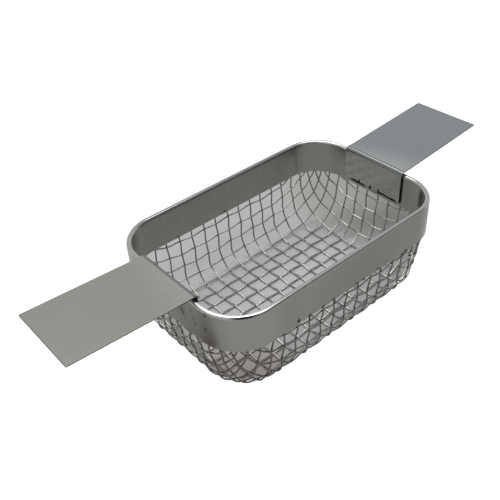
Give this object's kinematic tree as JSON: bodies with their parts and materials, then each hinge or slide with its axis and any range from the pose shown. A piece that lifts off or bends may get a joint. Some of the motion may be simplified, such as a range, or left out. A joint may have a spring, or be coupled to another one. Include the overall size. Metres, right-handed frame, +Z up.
{
  "type": "ultrasonic cleaner basket",
  "caption": "Small rounded-rectangle wire mesh basket in a folded steel rim band, with flat strip handles that reach out over the ends of an ultrasonic cleaning tank.",
  "frame": {"origin": "on the plane the basket stands on, below the middle of its floor", "axes": "+X towards one handle, +Y across the basket, +Z up"},
  "size_m": [0.2922, 0.103, 0.0674],
  "materials": {
    "band_steel": "brushed",
    "wire_steel": "drawn, bright",
    "handle_steel": "cold-rolled satin"
  },
  "bodies": {
    "root": {"rim_band": "band_steel", "wire_mesh": "wire_steel", "left_handle": "handle_steel", "right_handle": "handle_steel"}
  },
  "joints": []
}
